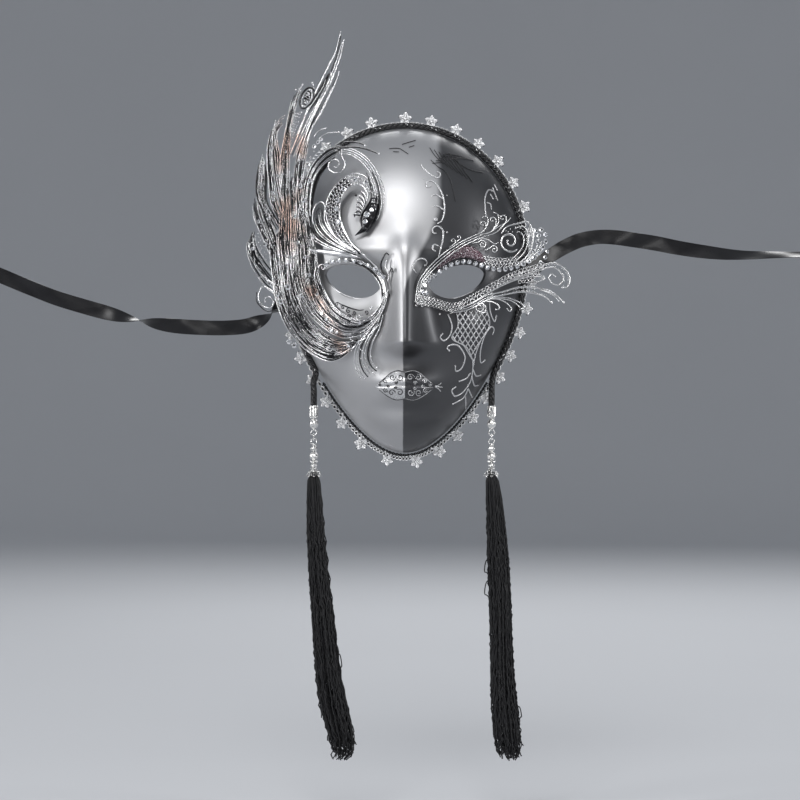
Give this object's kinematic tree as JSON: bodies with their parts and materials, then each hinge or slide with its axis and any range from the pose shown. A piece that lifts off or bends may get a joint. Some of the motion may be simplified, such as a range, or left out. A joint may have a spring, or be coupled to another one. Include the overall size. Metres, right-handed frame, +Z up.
{
  "type": "venetian masquerade mask",
  "caption": "Full-face costume mask with a hollow shell, two eye holes, bird-wing and eye-frame metal ornaments, rope and lace edge, swinging beaded tassels and tie ribbons.",
  "frame": {"origin": "centre of the plane that the back of the shell's rim lies on, where the wearer's face meets it", "axes": "+Z up the face, +X the viewer's right, the face looks towards -Y and the rim's back is at y = 0"},
  "size_m": [0.5769, 0.0837, 0.4913],
  "materials": {
    "shell_lacquer": "satin metallic lacquer, bright on one half and gunmetal on the other",
    "black_satin": "black satin ribbon",
    "black_cord": "twisted black rayon cord",
    "black_rayon": "black rayon threads",
    "silver_lace": "silver metallic lace",
    "grey_felt": "felt patch",
    "silver_paint": "raised silver glitter line",
    "lip_dark": "dark filigree on silver",
    "cut_metal": "polished cut metal",
    "frame_metal": "pale silver plated cut metal",
    "bead_silver": "antique silver plate",
    "rhinestone": "clear faceted stone on foil"
  },
  "bodies": {
    "root": {"shell": "shell_lacquer", "ribbon_patch_left": "grey_felt", "ribbon_patch_right": "grey_felt", "ribbon_left": "black_satin", "ribbon_right": "black_satin", "edge_rope": "black_cord", "jaw_cord": "black_cord", "lace_band": "silver_lace", "lace_flowers": "silver_lace", "lips_left": "lip_dark", "lips_right": "silver_paint", "forehead_scroll": "silver_paint", "temple_scroll": "silver_paint", "cheek_lattice": "silver_paint", "cheek_scrolls": "silver_paint", "bird_neck": "cut_metal", "bird_head": "cut_metal", "bird_crest": "cut_metal", "forehead_arcs": "cut_metal", "tail_plumes": "cut_metal", "back_plumes": "cut_metal", "lower_plumes": "cut_metal", "brow_feather": "cut_metal", "under_eye_feathers": "cut_metal", "cheek_feathers": "cut_metal", "nose_leaf": "cut_metal", "wing_stones": "rhinestone", "left_eye_stones": "rhinestone", "eye_frame_upper": "frame_metal", "eye_frame_lower": "frame_metal", "eye_frame_spiral": "frame_metal", "eye_frame_scrolls": "frame_metal", "eye_frame_tails": "frame_metal", "right_eye_stones": "rhinestone", "left_eye_pin": "bead_silver", "left_tube_bead": "bead_silver", "left_cone_bead": "bead_silver", "right_eye_pin": "bead_silver", "right_tube_bead": "bead_silver", "right_cone_bead": "bead_silver"},
    "left_link": {"left_link_ring": "bead_silver"},
    "left_drop": {"left_drop_pin": "bead_silver", "left_drop_beads": "bead_silver", "left_spacer": "bead_silver", "left_tassel_cap": "bead_silver", "left_tassel": "black_rayon"},
    "right_link": {"right_link_ring": "bead_silver"},
    "right_drop": {"right_drop_pin": "bead_silver", "right_drop_beads": "bead_silver", "right_spacer": "bead_silver", "right_tassel_cap": "bead_silver", "right_tassel": "black_rayon"}
  },
  "joints": [
    {"name": "left_fore_aft_swing", "type": "hinge", "parent": "root", "child": "left_link", "pos_m": [-0.0616, -0.01, -0.098], "axis": [1, 0, 0], "range_deg": [-45, 15]},
    {"name": "left_side_swing", "type": "hinge", "parent": "left_link", "child": "left_drop", "pos_m": [-0.0616, -0.01, -0.1013], "axis": [0, 1, 0], "range_deg": [-10, 25]},
    {"name": "right_fore_aft_swing", "type": "hinge", "parent": "root", "child": "right_link", "pos_m": [0.0584, -0.01, -0.098], "axis": [1, 0, 0], "range_deg": [-45, 15]},
    {"name": "right_side_swing", "type": "hinge", "parent": "right_link", "child": "right_drop", "pos_m": [0.0584, -0.01, -0.1013], "axis": [0, 1, 0], "range_deg": [-25, 10]}
  ]
}
